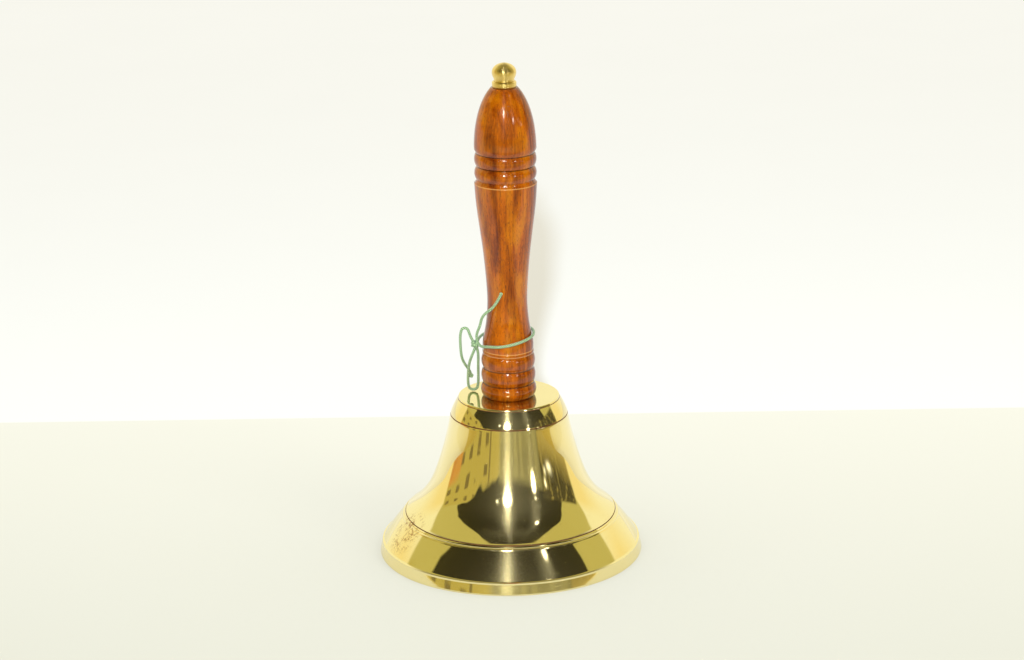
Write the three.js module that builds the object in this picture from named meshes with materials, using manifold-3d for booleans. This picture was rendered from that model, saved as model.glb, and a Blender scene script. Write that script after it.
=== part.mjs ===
// A brass handbell with a turned wooden handle and a cord tied round its neck.
//
// Units are millimetres and +Z is up. The origin is the centre of the mouth, in the plane of the rim,
// so the bell stands on the XY plane. The bell, handle and finial are turned round the Z axis.
// A steel tie rod runs down that axis from the finial, through the handle and the crown, and clamps the
// three together. Below the crown it carries a yoke that swivels on it, and the clapper swings in the yoke.
import * as THREE from "three";
import { mergeVertices } from "three/addons/utils/BufferGeometryUtils.js";
import Module from "manifold-3d";

// Clearance between pieces that touch.
const GAP = 0.3;

// Bell shell: radii and heights of the outside.
const MOUTH_R = 65;
const LIP_LINE = { r: 63.1, z: 6 };
const LOWER_LINE = { r: 52.3, z: 20.1 };
const SHOULDER_LINE = { r: 28.8, z: 70.7 };
const CROWN_EDGE = { r: 24.6, z: 79.7 };
const CROWN_TOP = 79.8;
const CROWN_THICKNESS = 4.8;
const RIM_WIDTH = 3.5;
const LINE_WIDTH = 0.9;
const LINE_DEPTH = 0.35;
const BELL_SEGMENTS = 48;

// Handle: heights and radii of its turned features.
const HANDLE_FOOT = CROWN_TOP + GAP;
const LOWER_BEADS = [
  { top: 86.8, peak: 13.6, groove: 12.3 },
  { top: 94.5, peak: 13.3, groove: 12.4 },
  { top: 101.7, peak: 13.2, groove: 12.2 },
  { top: 103.7, peak: 12.6, groove: 12.35 },
];
const UPPER_BEADS = [
  { top: 195.7, peak: 15.0, groove: 13.5 },
  { top: 202.2, peak: 15.0, groove: 14.1 },
];
const SHOULDER = { r: 15.15, z: 187, grooveR: 14.25, grooveZ: 188.5 };
const DOME = { r: 15.05, base: 204, height: 32.8, top: 233.6 };
const HANDLE_SEGMENTS = 28;

// Steel tie rod and what it clamps.
const ROD_R = 3;
const ROD_BOTTOM = 60.1;
const ROD_TOP = 241;
const ROD_HOLE_R = ROD_R + GAP;
const HANDLE_BORE_R = 3.5;
const FERRULE = { r: 5.86, bottom: DOME.top + GAP, height: 2.7 };
const KNOB = { neckR: 4.95, ballR: 5.85, ballZ: 240.9, upper: 4.4, lower: 5.4 };
const WASHER = { r: 9, thickness: 1.5 };
const CROWN_NUT = { acrossFlats: 10, height: 5 };

// Yoke that swivels on the rod, and the nut under it.
const YOKE = { length: 17.4, width: 9, bridge: 2.4, ear: 2.2, earDrop: 4.2 };
const YOKE_NUT = { acrossFlats: 10, height: 4 };

// Clapper: it swings on the pivot pin, about the Y axis.
const PIVOT_Z = 56;
const PIN_R = 1.5;
const PIN_HEAD = { r: 2.8, thickness: 1.4 };
const HUB = { r: 3.6, length: 11 };
const SHANK_R = 2;
const BALL = { r: 10.5, z: 15 };
const JAM_NUT = { acrossFlats: 7, height: 2.6 };

// Cord: a thin braided cord tied round the neck of the handle in a slipped bow.
const CORD_R = 0.7;
const CORD_STEP = 3;
const CORD_SIDES = 8;
const KNOT = { x: -15.9, y: -3, z: 106.8, rx: 1.9, ry: 1.9, rz: 2.1 };
const END_KNOT = { x: -18.4, y: 6.7, z: 87.6, r: 1.1 };

const wasm = await Module();
wasm.setup();

// ---------------------------------------------------------------- materials

function finish(color, roughness, metalness) {
  return new THREE.MeshStandardMaterial({ color, roughness, metalness });
}

const polishedBrass = finish(0xd9b54a, 0.08, 1);
const satinBrass = finish(0xc9a23c, 0.28, 1);
const lacqueredWood = finish(0x8a3a12, 0.15, 0);
const zincSteel = finish(0xa8a9a6, 0.35, 1);
const greenCord = finish(0x8fb083, 0.8, 0);

// ---------------------------------------------------------------- shape helpers

// Turned solid: the profile is a closed loop of [r, z] pairs, going up the outside and down the inside.
function turned(profile, segments) {
  const points = profile.map(([r, z]) => new THREE.Vector2(r, z));
  return new THREE.LatheGeometry(points, segments).rotateX(Math.PI / 2);
}

// Turned ring with a plain hole and small chamfers on its outer edges.
function turnedRing(outerR, holeR, bottom, top, segments, chamfer = 0.2) {
  return turned(
    [
      [holeR, bottom],
      [outerR - chamfer, bottom],
      [outerR, bottom + chamfer],
      [outerR, top - chamfer],
      [outerR - chamfer, top],
      [holeR, top],
      [holeR, bottom],
    ],
    segments,
  );
}

// Round bar along Z with chamfered ends.
function bar(r, bottom, top, segments, chamfer = 0.4) {
  return turned(
    [
      [0, bottom],
      [r - chamfer, bottom],
      [r, bottom + chamfer],
      [r, top - chamfer],
      [r - chamfer, top],
      [0, top],
    ],
    segments,
  );
}

// Hexagon nut standing on z = bottom, round the Z axis.
function hexNut(acrossFlats, holeR, bottom, height) {
  const cornerR = acrossFlats / Math.sqrt(3);
  const outline = new THREE.Shape();
  for (let corner = 0; corner < 6; corner++) {
    const angle = (corner * Math.PI) / 3;
    const [x, y] = [cornerR * Math.cos(angle), cornerR * Math.sin(angle)];
    if (corner === 0) outline.moveTo(x, y);
    else outline.lineTo(x, y);
  }
  outline.holes.push(new THREE.Path().absarc(0, 0, holeR, 0, 2 * Math.PI, true));
  const options = { depth: height, bevelEnabled: false, curveSegments: 16 };
  return new THREE.ExtrudeGeometry(outline, options).translate(0, 0, bottom);
}

// Points on the arc of a circle that bulges from rGroove to rPeak between two heights.
function beadArc(bottom, top, rGroove, rPeak, steps) {
  const half = (top - bottom) / 2;
  const rise = rPeak - rGroove;
  const arcR = (half * half + rise * rise) / (2 * rise);
  const middle = (top + bottom) / 2;
  const points = [];
  for (let i = 1; i <= steps; i++) {
    const z = bottom + ((top - bottom) * i) / steps;
    points.push([rPeak - arcR + Math.sqrt(arcR * arcR - (z - middle) ** 2), z]);
  }
  return points;
}

// Smooth curve through a few [r, z] stations.
function smooth(stations, steps) {
  const curve = new THREE.SplineCurve(stations.map(([r, z]) => new THREE.Vector2(r, z)));
  return curve.getPoints(steps).map((point) => [point.x, point.y]);
}

// Engraved line: a V groove in the outside, centred on a point of the profile.
function engravedLine({ r, z }, slope) {
  const half = LINE_WIDTH / 2;
  return [
    [r - slope * half, z - half],
    [r - LINE_DEPTH, z],
    [r + slope * half, z + half],
  ];
}

// ---------------------------------------------------------------- booleans

function solidOf(geometry) {
  const bare = geometry.clone();
  bare.deleteAttribute("normal");
  bare.deleteAttribute("uv");
  const merged = mergeVertices(bare, 1e-3);
  const vertProperties = new Float32Array(merged.attributes.position.array);
  const triVerts = new Uint32Array(merged.index.array);
  return new wasm.Manifold(new wasm.Mesh({ numProp: 3, vertProperties, triVerts }));
}

function geometryOf(solid) {
  const mesh = solid.getMesh();
  const geometry = new THREE.BufferGeometry();
  geometry.setAttribute("position", new THREE.BufferAttribute(mesh.vertProperties, 3));
  geometry.setIndex(new THREE.BufferAttribute(mesh.triVerts, 1));
  geometry.computeVertexNormals();
  return geometry;
}

function joined(first, ...others) {
  return geometryOf(others.reduce((sum, next) => sum.add(solidOf(next)), solidOf(first)));
}

// ---------------------------------------------------------------- bell

// Outside of the shell, from the rim up to the crown edge.
function bellOutside() {
  const coneSlope = (LOWER_LINE.r - LIP_LINE.r) / (LOWER_LINE.z - LIP_LINE.z);
  const flare = smooth(
    [
      [LOWER_LINE.r - 0.6, LOWER_LINE.z + LINE_WIDTH / 2],
      [46.05, 25.7],
      [39.6, 34.6],
      [35.5, 44.6],
      [32.1, 55.7],
      [SHOULDER_LINE.r + 0.1, SHOULDER_LINE.z - LINE_WIDTH / 2],
    ],
    12,
  );
  const bevelMiddle = [
    (SHOULDER_LINE.r + CROWN_EDGE.r) / 2 + 0.25,
    (SHOULDER_LINE.z + CROWN_EDGE.z) / 2,
  ];
  return [
    [MOUTH_R, 0],
    [MOUTH_R - 0.65, 2.6],
    [LIP_LINE.r + 0.15, LIP_LINE.z - 0.3],
    [LIP_LINE.r - 0.15, LIP_LINE.z + 0.3],
    [(LIP_LINE.r + LOWER_LINE.r) / 2 + 0.2, (LIP_LINE.z + LOWER_LINE.z) / 2 + 0.18],
    ...engravedLine(LOWER_LINE, coneSlope),
    ...flare.slice(1),
    [SHOULDER_LINE.r - LINE_DEPTH, SHOULDER_LINE.z],
    [SHOULDER_LINE.r - 0.2, SHOULDER_LINE.z + LINE_WIDTH / 2],
    bevelMiddle,
    [CROWN_EDGE.r, CROWN_EDGE.z - 0.6],
    [CROWN_EDGE.r - 0.5, CROWN_TOP],
  ];
}

// Inside of the shell, from the crown down to the rim.
function bellInside() {
  const wall = smooth(
    [
      [25.6, 68],
      [29.4, 55.4],
      [32.8, 43.8],
      [37, 33.4],
      [43.4, 24],
      [50, 17.2],
      [MOUTH_R - RIM_WIDTH - 1.6, 4.5],
    ],
    10,
  );
  const underCrown = CROWN_TOP - CROWN_THICKNESS;
  return [
    [ROD_HOLE_R + 0.1, CROWN_TOP],
    [ROD_HOLE_R + 0.1, underCrown],
    [20.5, underCrown],
    [23.8, underCrown - 1.6],
    ...wall,
    [MOUTH_R - RIM_WIDTH, 0],
    [MOUTH_R, 0],
  ];
}

function bellShell() {
  return turned([...bellOutside(), ...bellInside()], BELL_SEGMENTS);
}

// ---------------------------------------------------------------- handle and finial

// Waisted grip between the lower beads and the shoulder.
function gripProfile() {
  return smooth(
    [
      [12.5, 104.5],
      [12.5, 106.5],
      [11.95, 110],
      [10.7, 116.5],
      [9.93, 124],
      [9.76, 129],
      [9.94, 134],
      [11.2, 150],
      [13.15, 166],
      [14.75, 180],
      [SHOULDER.r, SHOULDER.z - 1],
    ],
    18,
  );
}

// Rounded top of the handle: part of an ellipse, cut flat where the ferrule sits.
function domeProfile(steps) {
  const points = [];
  for (let i = 0; i <= steps; i++) {
    const z = DOME.base + ((DOME.top - DOME.base) * Math.sin((i / steps) * (Math.PI / 2)));
    points.push([DOME.r * Math.sqrt(1 - ((z - DOME.base) / DOME.height) ** 2), z]);
  }
  return points;
}

// Stack of round beads, each ending in a groove.
function beadStack(bottom, beads, steps) {
  const points = [];
  let z = bottom;
  for (const bead of beads) {
    points.push(...beadArc(z, bead.top, bead.groove, bead.peak, steps));
    z = bead.top;
  }
  return points;
}

function handle() {
  const profile = [
    [HANDLE_BORE_R, HANDLE_FOOT],
    [LOWER_BEADS[0].groove, HANDLE_FOOT],
    ...beadStack(HANDLE_FOOT, LOWER_BEADS, 5),
    ...gripProfile(),
    [SHOULDER.r, SHOULDER.z],
    [SHOULDER.grooveR, SHOULDER.grooveZ],
    ...beadStack(SHOULDER.grooveZ, UPPER_BEADS, 5),
    ...domeProfile(7),
    [HANDLE_BORE_R, DOME.top],
    [HANDLE_BORE_R, HANDLE_FOOT],
  ];
  return turned(profile, HANDLE_SEGMENTS);
}

function finialFerrule() {
  const top = FERRULE.bottom + FERRULE.height;
  return turnedRing(FERRULE.r, ROD_HOLE_R, FERRULE.bottom, top, 24);
}

// Ball nut: a short neck under an oblate ball, with a blind hole for the end of the tie rod.
function finialKnob() {
  const bottom = FERRULE.bottom + FERRULE.height + GAP;
  const neckAngle = -Math.acos(KNOB.neckR / KNOB.ballR);
  const ball = [];
  const steps = 9;
  for (let i = 0; i <= steps; i++) {
    const angle = neckAngle + ((Math.PI / 2 - neckAngle) * i) / steps;
    const semiHeight = angle < 0 ? KNOB.lower : KNOB.upper;
    const r = i === steps ? 0 : KNOB.ballR * Math.cos(angle);
    ball.push([r, KNOB.ballZ + semiHeight * Math.sin(angle)]);
  }
  return turned(
    [
      [0, ROD_TOP + GAP],
      [ROD_HOLE_R, ROD_TOP + GAP],
      [ROD_HOLE_R, bottom],
      [KNOB.neckR, bottom],
      ...ball,
    ],
    24,
  );
}

// ---------------------------------------------------------------- rod, washer and nuts

const washerTop = CROWN_TOP - CROWN_THICKNESS - GAP;
const crownNutTop = washerTop - WASHER.thickness - GAP;
const yokeTop = crownNutTop - CROWN_NUT.height - GAP;
const yokeNutTop = yokeTop - YOKE.bridge - GAP;

function crownWasher() {
  return turnedRing(WASHER.r, ROD_HOLE_R, washerTop - WASHER.thickness, washerTop, 24);
}

function crownNut() {
  const { acrossFlats, height } = CROWN_NUT;
  return hexNut(acrossFlats, ROD_HOLE_R, crownNutTop - height, height);
}

function yokeNut() {
  const { acrossFlats, height } = YOKE_NUT;
  return hexNut(acrossFlats, ROD_HOLE_R, yokeNutTop - height, height);
}

// ---------------------------------------------------------------- yoke and pin

// One ear of the yoke: a plate with a round end and the pin hole, its inner face at y.
function yokeEar(y) {
  const drop = yokeTop - PIVOT_Z;
  const half = YOKE.width / 2;
  const plate = new THREE.Shape();
  plate.moveTo(-half, drop);
  plate.lineTo(-YOKE.earDrop, 0);
  plate.absarc(0, 0, YOKE.earDrop, Math.PI, 2 * Math.PI, false);
  plate.lineTo(half, drop);
  plate.closePath();
  plate.holes.push(new THREE.Path().absarc(0, 0, PIN_R + GAP, 0, 2 * Math.PI, true));
  const options = { depth: YOKE.ear, bevelEnabled: false, curveSegments: 10 };
  return new THREE.ExtrudeGeometry(plate, options)
    .rotateX(Math.PI / 2)
    .translate(0, y + YOKE.ear, PIVOT_Z);
}

// Bridge of the yoke: a flat bar with the hole that turns on the tie rod.
function yokeBridge() {
  const halfX = YOKE.width / 2;
  const halfY = YOKE.length / 2;
  const plate = new THREE.Shape();
  plate.moveTo(-halfX, -halfY);
  plate.lineTo(halfX, -halfY);
  plate.lineTo(halfX, halfY);
  plate.lineTo(-halfX, halfY);
  plate.closePath();
  plate.holes.push(new THREE.Path().absarc(0, 0, ROD_HOLE_R, 0, 2 * Math.PI, true));
  const options = { depth: YOKE.bridge, bevelEnabled: false, curveSegments: 16 };
  return new THREE.ExtrudeGeometry(plate, options).translate(0, 0, yokeTop - YOKE.bridge);
}

function clapperYoke() {
  const outerFace = YOKE.length / 2;
  return joined(yokeBridge(), yokeEar(outerFace - YOKE.ear), yokeEar(-outerFace));
}

// Headed pin through both ears, along Y.
function clapperPin() {
  const headFace = -YOKE.length / 2 - GAP;
  const end = YOKE.length / 2 + GAP + PIN_HEAD.thickness + 0.5;
  return turned(
    [
      [0, headFace - PIN_HEAD.thickness],
      [PIN_HEAD.r - 0.4, headFace - PIN_HEAD.thickness],
      [PIN_HEAD.r, headFace - PIN_HEAD.thickness + 0.4],
      [PIN_HEAD.r, headFace],
      [PIN_R, headFace],
      [PIN_R, end - 0.3],
      [PIN_R - 0.3, end],
      [0, end],
    ],
    16,
  ).rotateX(-Math.PI / 2);
}

function pinRetainer() {
  const face = YOKE.length / 2 + GAP;
  return turnedRing(PIN_HEAD.r, PIN_R + GAP, face, face + PIN_HEAD.thickness, 16).rotateX(-Math.PI / 2);
}

// ---------------------------------------------------------------- clapper

// Shank with a cross hub that turns on the pin; the hub's bore is cut after they are joined.
function clapperRod() {
  const shank = bar(SHANK_R, BALL.z - 5, PIVOT_Z, 16);
  const hub = bar(HUB.r, -HUB.length / 2, HUB.length / 2, 20);
  const bore = new THREE.CylinderGeometry(PIN_R + GAP, PIN_R + GAP, HUB.length + 2, 16);
  hub.rotateX(Math.PI / 2).translate(0, 0, PIVOT_Z);
  bore.translate(0, 0, PIVOT_Z);
  return geometryOf(solidOf(shank).add(solidOf(hub)).subtract(solidOf(bore)));
}

// Ball with a blind hole in its top for the shank.
function clapperBall() {
  const holeR = SHANK_R + GAP;
  const topAngle = Math.acos(holeR / BALL.r);
  const steps = 12;
  const outside = [];
  for (let i = 0; i <= steps; i++) {
    const angle = -Math.PI / 2 + ((topAngle + Math.PI / 2) * i) / steps;
    const r = i === 0 ? 0 : BALL.r * Math.cos(angle);
    outside.push([r, BALL.z + BALL.r * Math.sin(angle)]);
  }
  const holeBottom = BALL.z - 5 - GAP;
  return turned([...outside, [holeR, holeBottom], [0, holeBottom]], 24);
}

function clapperJamNut() {
  const bottom = BALL.z + BALL.r + GAP;
  return hexNut(JAM_NUT.acrossFlats, SHANK_R + GAP, bottom, JAM_NUT.height);
}

// ---------------------------------------------------------------- cord

// Round tube along a smooth route through hand-placed points, with flat ends.
function cordTube(route) {
  const curve = new THREE.CatmullRomCurve3(route.map((point) => new THREE.Vector3(...point)));
  const section = new THREE.Shape();
  for (let side = 0; side < CORD_SIDES; side++) {
    const angle = (side * 2 * Math.PI) / CORD_SIDES;
    const [x, y] = [CORD_R * Math.cos(angle), CORD_R * Math.sin(angle)];
    if (side === 0) section.moveTo(x, y);
    else section.lineTo(x, y);
  }
  const steps = Math.round(curve.getLength() / CORD_STEP);
  return new THREE.ExtrudeGeometry(section, { steps, extrudePath: curve, bevelEnabled: false });
}

// Round the handle: out of the front of the knot, round the right side, back into the knot from behind.
function cordBand() {
  return cordTube([
    [-14, -4.7, 107],
    [-10.2, -8.7, 107.1],
    [-4.8, -12.8, 108.1],
    [1.6, -13.3, 109.2],
    [7.6, -10.8, 110.4],
    [11.8, -5.2, 111.3],
    [12.4, 1.6, 111.9],
    [9.3, 8.6, 111.8],
    [2.6, 12.8, 111],
    [-5, 12.5, 110.3],
    [-12, 6.4, 108.9],
    [-14.4, 1.4, 108],
  ]);
}

// Bow loop: hangs from the knot until it touches the crown, and comes back up beside the handle.
function cordLoop() {
  return cordTube([
    [-16.4, -2.3, 103.9],
    [-18.8, -0.1, 97],
    [-19.8, 2.6, 89],
    [-19.65, 4.7, 83.05],
    [-19, 5.35, 81.4],
    [-17.4, 5.6, 80.75],
    [-15.8, 5.35, 81.4],
    [-15.15, 4.7, 83.05],
    [-14.8, 3, 89],
    [-14.7, 0.6, 96.6],
    [-15.1, -1.8, 103.9],
  ]);
}

// Upper free end: rises from the knot and leans on the waist of the handle.
function cordTailUpper() {
  return cordTube([
    [-15.2, -3.8, 110.4],
    [-13.6, -5, 116.6],
    [-12.3, -6.2, 121.2],
    [-10.5, -7.5, 123.8],
    [-8.2, -8.4, 125.9],
    [-5.8, -9.4, 128.8],
    [-2.7, -11.2, 135.1],
  ]);
}

// Lower free end: arches out to the left and falls behind the loop.
function cordTailLower() {
  return cordTube([
    [-17.4, -3.8, 109.3],
    [-18.95, -4.2, 113.4],
    [-19.9, -4.1, 115.1],
    [-21.8, -3.7, 115.1],
    [-22.75, -3.3, 113.4],
    [-23.2, -2.1, 106.8],
    [-22.6, 0.2, 99],
    [-20.6, 3.8, 93.4],
    [-18.8, 6.1, 89.4],
  ]);
}

function cordKnot() {
  return new THREE.SphereGeometry(1, 12, 8)
    .scale(KNOT.rx, KNOT.ry, KNOT.rz)
    .translate(KNOT.x, KNOT.y, KNOT.z);
}

function cordEndKnot() {
  return new THREE.SphereGeometry(END_KNOT.r, 10, 8).translate(END_KNOT.x, END_KNOT.y, END_KNOT.z);
}

// ---------------------------------------------------------------- assembly

const handbell = new THREE.Group();

function add(name, geometry, material, parent = handbell) {
  const mesh = new THREE.Mesh(geometry, material);
  mesh.name = name;
  parent.add(mesh);
  return mesh;
}

add("bell_shell", bellShell(), polishedBrass);
add("handle", handle(), lacqueredWood);
add("finial_ferrule", finialFerrule(), satinBrass);
add("finial_knob", finialKnob(), satinBrass);
add("tie_rod", bar(ROD_R, ROD_BOTTOM, ROD_TOP, 16), zincSteel);
add("crown_washer", crownWasher(), zincSteel);
add("crown_nut", crownNut(), zincSteel);
add("yoke_nut", yokeNut(), zincSteel);

const yoke = new THREE.Group();
handbell.add(yoke);
add("clapper_yoke", clapperYoke(), zincSteel, yoke);
add("clapper_pin", clapperPin().translate(0, 0, PIVOT_Z), zincSteel, yoke);
add("pin_retainer", pinRetainer().translate(0, 0, PIVOT_Z), zincSteel, yoke);

const clapper = new THREE.Group();
yoke.add(clapper);
add("clapper_rod", clapperRod(), zincSteel, clapper);
add("clapper_ball", clapperBall(), satinBrass, clapper);
add("clapper_jam_nut", clapperJamNut(), zincSteel, clapper);

const cord = new THREE.Group();
handbell.add(cord);
add("cord_band", cordBand(), greenCord, cord);
add("cord_knot", cordKnot(), greenCord, cord);
add("cord_loop", cordLoop(), greenCord, cord);
add("cord_tail_upper", cordTailUpper(), greenCord, cord);
add("cord_tail_lower", cordTailLower(), greenCord, cord);
add("cord_end_knot", cordEndKnot(), greenCord, cord);

export default handbell;
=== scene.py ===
"""Looks of the brass handbell: fine meshes, materials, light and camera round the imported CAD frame.

Shapes are written in millimetres and made in metres. The bell's axis is Z, and the rim stands on z = 0.
"""

import math

import bpy
import numpy as np
from mathutils import Matrix, Vector


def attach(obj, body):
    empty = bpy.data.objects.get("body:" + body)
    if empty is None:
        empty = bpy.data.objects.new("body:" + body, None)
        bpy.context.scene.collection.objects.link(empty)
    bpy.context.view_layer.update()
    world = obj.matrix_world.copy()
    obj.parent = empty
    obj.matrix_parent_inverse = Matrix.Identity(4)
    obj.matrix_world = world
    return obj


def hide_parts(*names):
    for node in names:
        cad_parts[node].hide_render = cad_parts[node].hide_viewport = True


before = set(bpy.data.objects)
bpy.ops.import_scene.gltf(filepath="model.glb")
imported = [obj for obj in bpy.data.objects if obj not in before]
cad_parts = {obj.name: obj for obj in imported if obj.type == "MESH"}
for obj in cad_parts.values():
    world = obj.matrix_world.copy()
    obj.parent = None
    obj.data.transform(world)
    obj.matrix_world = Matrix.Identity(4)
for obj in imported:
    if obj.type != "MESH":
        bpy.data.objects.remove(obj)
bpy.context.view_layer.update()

MM = 0.001


# ---- outlines and curves


def spline(stations, steps):
    """Points on the cubic spline through the stations, with free ends and a curvature that never jumps."""
    points = np.array(stations, float)
    knots = np.r_[0, np.cumsum(np.linalg.norm(np.diff(points, axis=0), axis=1))]
    width = np.diff(knots)
    count = len(points)
    system = np.eye(count)
    right = np.zeros_like(points)
    for i in range(1, count - 1):
        system[i, i - 1 : i + 2] = width[i - 1], 2 * (width[i - 1] + width[i]), width[i]
        slope_after = (points[i + 1] - points[i]) / width[i]
        slope_before = (points[i] - points[i - 1]) / width[i - 1]
        right[i] = 6 * (slope_after - slope_before)
    bend = np.linalg.solve(system, right)
    at = np.linspace(0, knots[-1], steps + 1)
    i = np.clip(np.searchsorted(knots, at, "right") - 1, 0, count - 2)
    w = width[i][:, None]
    a = (knots[i + 1] - at)[:, None]
    b = (at - knots[i])[:, None]
    return (
        bend[i] * a**3 / (6 * w)
        + bend[i + 1] * b**3 / (6 * w)
        + (points[i] / w - bend[i] * w / 6) * a
        + (points[i + 1] / w - bend[i + 1] * w / 6) * b
    )


def rounded(corners, steps=5):
    """An open outline whose corners (r, z, radius) are rounded off; a corner with no radius stays sharp."""
    outline = []
    for i, corner in enumerate(corners):
        here = np.array(corner[:2], float)
        radius = corner[2] if len(corner) > 2 else 0
        if not radius or i in (0, len(corners) - 1):
            outline.append(tuple(here))
            continue
        back = np.array(corners[i - 1][:2], float) - here
        ahead = np.array(corners[i + 1][:2], float) - here
        back /= np.linalg.norm(back)
        ahead /= np.linalg.norm(ahead)
        half = math.acos(max(-1, min(1, back @ ahead))) / 2
        reach = radius / math.tan(half)
        middle = back + ahead
        centre = here + middle / np.linalg.norm(middle) * radius / math.sin(half)
        first = here + back * reach - centre
        last = here + ahead * reach - centre
        turn = math.atan2(first[0] * last[1] - first[1] * last[0], first @ last)
        for k in range(steps + 1):
            angle = turn * k / steps
            cos, sin = math.cos(angle), math.sin(angle)
            spot = centre + (first[0] * cos - first[1] * sin, first[0] * sin + first[1] * cos)
            outline.append(tuple(spot))
    return outline


def bead(bottom, top, groove, peak, steps=14):
    """Arc of a circle from groove to groove that bulges out to the peak radius."""
    half = (top - bottom) / 2
    rise = peak - groove
    radius = (half * half + rise * rise) / (2 * rise)
    heights = np.linspace(bottom, top, steps + 1)
    return [(peak - radius + math.sqrt(radius**2 - (z - bottom - half) ** 2), z) for z in heights]


# ---- meshes

# Faces of a cut piece that meet at more than this many degrees form an edge.
EDGE_ANGLE = 40


def new_object(name, data):
    """An object in the scene."""
    thing = bpy.data.objects.new(name, data)
    bpy.context.scene.collection.objects.link(thing)
    return thing


def make_mesh(name, vertices, faces, materials, face_materials=None, sharp=35, matrix=None):
    """An object from points in millimetres, smooth except where faces meet at more than sharp degrees."""
    mesh = bpy.data.meshes.new(name)
    points = np.array(vertices, float) * MM
    mesh.from_pydata(points.tolist(), [], faces)
    if matrix is not None:
        mesh.transform(matrix)
    for material in materials:
        mesh.materials.append(material)
    if face_materials is not None:
        mesh.polygons.foreach_set("material_index", face_materials)
    shade_smooth(mesh, sharp)
    mesh.update()
    return new_object(name, mesh)


def polar(name, rings, materials, segments, ring_materials=None, closed=False, **options):
    """A solid from rings round the axis: each ring is (radii, heights), one number or one for each angle.

    A ring of radius 0 is a point on the axis. A closed one joins its last ring to its first.
    """
    angles = np.arange(segments) * 2 * math.pi / segments
    cos, sin = np.cos(angles), np.sin(angles)
    vertices, starts = [], []
    for radii, heights in rings:
        starts.append(len(vertices))
        if np.size(radii) == 1 and float(np.max(radii)) == 0:
            vertices.append((0, 0, float(np.max(heights))))
            continue
        r = np.broadcast_to(radii, segments)
        z = np.broadcast_to(heights, segments)
        vertices.extend(zip(r * cos, r * sin, z))
    starts.append(len(vertices))
    faces, face_materials = [], []
    pairs = [(i, i + 1) for i in range(len(rings) - 1)]
    if closed:
        pairs.append((len(rings) - 1, 0))
    for low, high in pairs:
        a, b = starts[low], starts[high]
        low_is_point = starts[low + 1] - a == 1
        high_is_point = starts[high + 1] - b == 1
        for j in range(segments):
            k = (j + 1) % segments
            if low_is_point:
                faces.append((a, b + k, b + j))
            elif high_is_point:
                faces.append((a + j, a + k, b))
            else:
                faces.append((a + j, a + k, b + k, b + j))
            face_materials.append(ring_materials[low] if ring_materials else 0)
    return make_mesh(name, vertices, faces, materials, face_materials, **options)


def turned(name, outline, materials, segments=96, **options):
    """A turned solid from an outline of (r, z), going up the outside."""
    return polar(name, list(outline), materials, segments, **options)


def shape_change(thing, modifier_type, **options):
    """Applies one modifier to the object's mesh."""
    modifier = thing.modifiers.new("change", modifier_type)
    for key, value in options.items():
        setattr(modifier, key, value)
    evaluated = thing.evaluated_get(bpy.context.evaluated_depsgraph_get())
    changed = bpy.data.meshes.new_from_object(evaluated)
    thing.modifiers.clear()
    thing.data = changed


def boolean(thing, tool, operation="DIFFERENCE"):
    """Cuts the tool out of the object, joins it on or keeps what they share, and removes the tool."""
    shape_change(thing, "BOOLEAN", object=tool, operation=operation, solver="EXACT")
    bpy.data.objects.remove(tool)


def shade_smooth(mesh, sharp):
    """Smooth shading, except where faces meet at more than sharp degrees."""
    mesh.polygons.foreach_set("use_smooth", [True] * len(mesh.polygons))
    mesh.set_sharp_from_angle(angle=math.radians(sharp))


def soften(thing, width):
    """Small round on the edges, then smooth shading between them."""
    limit = math.radians(EDGE_ANGLE)
    shape_change(thing, "BEVEL", width=width * MM, segments=3, limit_method="ANGLE", angle_limit=limit)
    shade_smooth(thing.data, EDGE_ANGLE)


def place(thing, body, slot, *nodes):
    """The object moves with a body and stands for its CAD nodes, which it hides; the slot is not used."""
    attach(thing, body)
    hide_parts(*nodes)


# ---- shader formulas


class Value:
    """The output of a shader node, so that a formula can be written as one."""

    def __init__(self, tree, socket):
        self.tree = tree
        self.socket = socket

    def math(self, operation, *others, clamp=False):
        """This value combined with others, which may be plain numbers."""
        node = self.tree.nodes.new("ShaderNodeMath")
        node.operation = operation
        node.use_clamp = clamp
        for socket, value in zip(node.inputs, (self, *others)):
            feed(self.tree, value, socket)
        return Value(self.tree, node.outputs[0])

    def __add__(self, other):
        return self.math("ADD", other)

    def __sub__(self, other):
        return self.math("SUBTRACT", other)

    def __mul__(self, other):
        return self.math("MULTIPLY", other)

    def above(self, edge, soft):
        """0 below the edge and 1 above it, with a soft step between."""
        if isinstance(edge, Value):
            return (self - edge).above(0, soft)
        return self.math("MULTIPLY_ADD", 1 / soft, 0.5 - edge / soft, clamp=True)

    def below(self, edge, soft):
        """1 below the edge and 0 above it."""
        return self.above(edge, soft).math("MULTIPLY_ADD", -1, 1)

    def between(self, low, high, soft):
        """1 from low to high and 0 outside."""
        return self.above(low, soft) * self.below(high, soft)

    def parts(self):
        """The three numbers of a vector."""
        node = self.tree.nodes.new("ShaderNodeSeparateXYZ")
        feed(self.tree, self, node.inputs[0])
        return [Value(self.tree, output) for output in node.outputs]


def feed(tree, value, socket):
    """Links a value to a socket, or sets the socket to a plain number or colour."""
    if isinstance(value, Value):
        tree.links.new(value.socket, socket)
    elif isinstance(value, (tuple, list)) and socket.type == "RGBA":
        socket.default_value = (*value[:3], 1)
    else:
        socket.default_value = value


def mix(factor, first, second):
    """Colour between first and second."""
    node = factor.tree.nodes.new("ShaderNodeMix")
    node.data_type = "RGBA"
    for name, value in (("Factor_Float", factor), ("A_Color", first), ("B_Color", second)):
        feed(factor.tree, value, next(s for s in node.inputs if s.identifier == name))
    return Value(factor.tree, next(s for s in node.outputs if s.identifier == "Result_Color"))


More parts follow.
